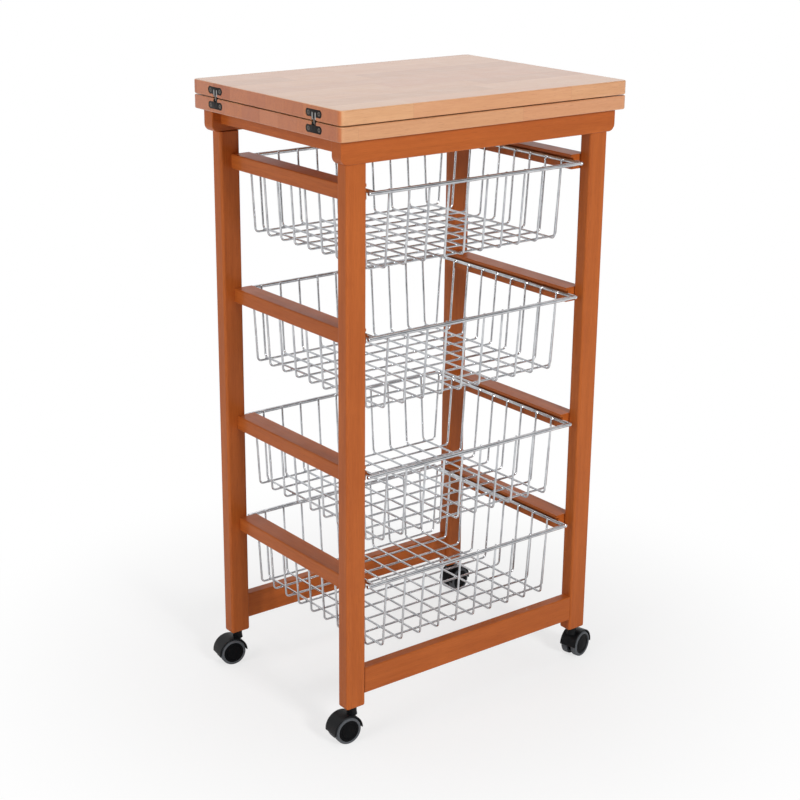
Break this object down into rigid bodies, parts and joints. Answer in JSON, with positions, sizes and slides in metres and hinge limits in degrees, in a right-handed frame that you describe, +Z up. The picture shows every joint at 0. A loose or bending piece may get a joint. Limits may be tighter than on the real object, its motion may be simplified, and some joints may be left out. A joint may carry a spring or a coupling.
{
  "type": "folding kitchen cart",
  "caption": "Wooden kitchen trolley on casters with sliding wire baskets and a hinged two-leaf top that opens to double the worktop.",
  "frame": {"origin": "on the floor, below the middle of the worktop", "axes": "+Z up, X along the long front side with the hinges at -X, front face towards -Y"},
  "size_m": [0.4737, 0.335, 0.85],
  "materials": {
    "frame_wood": "orange-brown stain under glossy varnish",
    "worktop_wood": "clear satin varnish over laminated strips",
    "dowel_wood": "bare fluted beech",
    "wire_chrome": "bright plated wire",
    "hinge_bronze": "dark bronzed",
    "hinge_steel": "plain bright steel",
    "felt": "pressed felt",
    "caster_plastic": "moulded black",
    "caster_wheel": "moulded, worn dull on the tread"
  },
  "bodies": {
    "frame": {"leg_front_left": "frame_wood", "leg_front_right": "frame_wood", "leg_back_left": "frame_wood", "leg_back_right": "frame_wood", "top_rail_front": "frame_wood", "stretcher_front": "frame_wood", "top_rail_back": "frame_wood", "stretcher_back": "frame_wood", "cross_rail_left": "frame_wood", "runner_left_1": "frame_wood", "runner_left_2": "frame_wood", "runner_left_3": "frame_wood", "runner_left_4": "frame_wood", "cross_rail_right": "frame_wood", "runner_right_1": "frame_wood", "runner_right_2": "frame_wood", "runner_right_3": "frame_wood", "runner_right_4": "frame_wood", "worktop_lower": "worktop_wood", "hinge_plate_front_lower": "hinge_bronze", "hinge_plate_back_lower": "hinge_bronze", "hinge_pins_lower": "hinge_steel", "hinge_screws_lower": "hinge_steel", "frame_dowels": "dowel_wood", "worktop_screws": "hinge_steel", "worktop_bumpers": "felt", "caster_sockets": "caster_plastic"},
    "hinge_links": {"hinge_link_front": "hinge_steel", "hinge_link_back": "hinge_steel"},
    "flap": {"worktop_flap": "worktop_wood", "hinge_plate_front_upper": "hinge_bronze", "hinge_plate_back_upper": "hinge_bronze", "hinge_pins_upper": "hinge_steel", "hinge_screws_upper": "hinge_steel"},
    "wire_basket_1": {"basket_1": "wire_chrome"},
    "wire_basket_2": {"basket_2": "wire_chrome"},
    "wire_basket_3": {"basket_3": "wire_chrome"},
    "wire_basket_4": {"basket_4": "wire_chrome"},
    "caster_front_left": {"caster_front_left_stem": "hinge_steel", "caster_front_left_hood": "caster_plastic", "caster_front_left_axle": "hinge_steel"},
    "wheel_front_left_a": {"caster_front_left_wheel_a": "caster_wheel"},
    "wheel_front_left_b": {"caster_front_left_wheel_b": "caster_wheel"},
    "caster_front_right": {"caster_front_right_stem": "hinge_steel", "caster_front_right_hood": "caster_plastic", "caster_front_right_axle": "hinge_steel"},
    "wheel_front_right_a": {"caster_front_right_wheel_a": "caster_wheel"},
    "wheel_front_right_b": {"caster_front_right_wheel_b": "caster_wheel"},
    "caster_back_left": {"caster_back_left_stem": "hinge_steel", "caster_back_left_hood": "caster_plastic", "caster_back_left_axle": "hinge_steel"},
    "wheel_back_left_a": {"caster_back_left_wheel_a": "caster_wheel"},
    "wheel_back_left_b": {"caster_back_left_wheel_b": "caster_wheel"},
    "caster_back_right": {"caster_back_right_stem": "hinge_steel", "caster_back_right_hood": "caster_plastic", "caster_back_right_axle": "hinge_steel"},
    "wheel_back_right_a": {"caster_back_right_wheel_a": "caster_wheel"},
    "wheel_back_right_b": {"caster_back_right_wheel_b": "caster_wheel"}
  },
  "joints": [
    {"name": "link_turn", "type": "hinge", "parent": "frame", "child": "hinge_links", "pos_m": [-0.2325, 0, 0.8278], "axis": [0, -1, 0], "range_deg": [0, 90]},
    {"name": "flap_turn", "type": "hinge", "parent": "hinge_links", "child": "flap", "pos_m": [-0.2325, 0, 0.834], "axis": [0, -1, 0], "range_deg": [0, 90]},
    {"name": "basket_1_slide", "type": "slide", "parent": "frame", "child": "wire_basket_1", "axis": [0, -1, 0], "range_m": [-0.015, 0.2]},
    {"name": "basket_2_slide", "type": "slide", "parent": "frame", "child": "wire_basket_2", "axis": [0, -1, 0], "range_m": [-0.015, 0.2]},
    {"name": "basket_3_slide", "type": "slide", "parent": "frame", "child": "wire_basket_3", "axis": [0, -1, 0], "range_m": [-0.015, 0.2]},
    {"name": "basket_4_slide", "type": "slide", "parent": "frame", "child": "wire_basket_4", "axis": [0, -1, 0], "range_m": [-0.015, 0.2]},
    {"name": "caster_front_left_swivel", "type": "hinge", "parent": "frame", "child": "caster_front_left", "pos_m": [-0.201, -0.1425, 0.045], "axis": [0, 0, 1], "continuous": true},
    {"name": "wheel_front_left_a_spin", "type": "hinge", "parent": "caster_front_left", "child": "wheel_front_left_a", "pos_m": [-0.21297, -0.14166, 0.019], "axis": [0.0698, 0.9976, 0], "continuous": true},
    {"name": "wheel_front_left_b_spin", "type": "hinge", "parent": "caster_front_left", "child": "wheel_front_left_b", "pos_m": [-0.21297, -0.14166, 0.019], "axis": [0.0698, 0.9976, 0], "continuous": true},
    {"name": "caster_front_right_swivel", "type": "hinge", "parent": "frame", "child": "caster_front_right", "pos_m": [0.201, -0.1425, 0.045], "axis": [0, 0, 1], "continuous": true},
    {"name": "wheel_front_right_a_spin", "type": "hinge", "parent": "caster_front_right", "child": "wheel_front_right_a", "pos_m": [0.21264, -0.1396, 0.019], "axis": [0.2419, -0.9703, 0], "continuous": true},
    {"name": "wheel_front_right_b_spin", "type": "hinge", "parent": "caster_front_right", "child": "wheel_front_right_b", "pos_m": [0.21264, -0.1396, 0.019], "axis": [0.2419, -0.9703, 0], "continuous": true},
    {"name": "caster_back_left_swivel", "type": "hinge", "parent": "frame", "child": "caster_back_left", "pos_m": [-0.201, 0.1425, 0.045], "axis": [0, 0, 1], "continuous": true},
    {"name": "wheel_back_left_a_spin", "type": "hinge", "parent": "caster_back_left", "child": "wheel_back_left_a", "pos_m": [-0.21288, 0.14417, 0.019], "axis": [0.1392, 0.9903, 0], "continuous": true},
    {"name": "wheel_back_left_b_spin", "type": "hinge", "parent": "caster_back_left", "child": "wheel_back_left_b", "pos_m": [-0.21288, 0.14417, 0.019], "axis": [0.1392, 0.9903, 0], "continuous": true},
    {"name": "caster_back_right_swivel", "type": "hinge", "parent": "frame", "child": "caster_back_right", "pos_m": [0.201, 0.1425, 0.045], "axis": [0, 0, 1], "continuous": true},
    {"name": "wheel_back_right_a_spin", "type": "hinge", "parent": "caster_back_right", "child": "wheel_back_right_a", "pos_m": [0.21282, 0.14458, 0.019], "axis": [0.1736, -0.9848, 0], "continuous": true},
    {"name": "wheel_back_right_b_spin", "type": "hinge", "parent": "caster_back_right", "child": "wheel_back_right_b", "pos_m": [0.21282, 0.14458, 0.019], "axis": [0.1736, -0.9848, 0], "continuous": true}
  ]
}
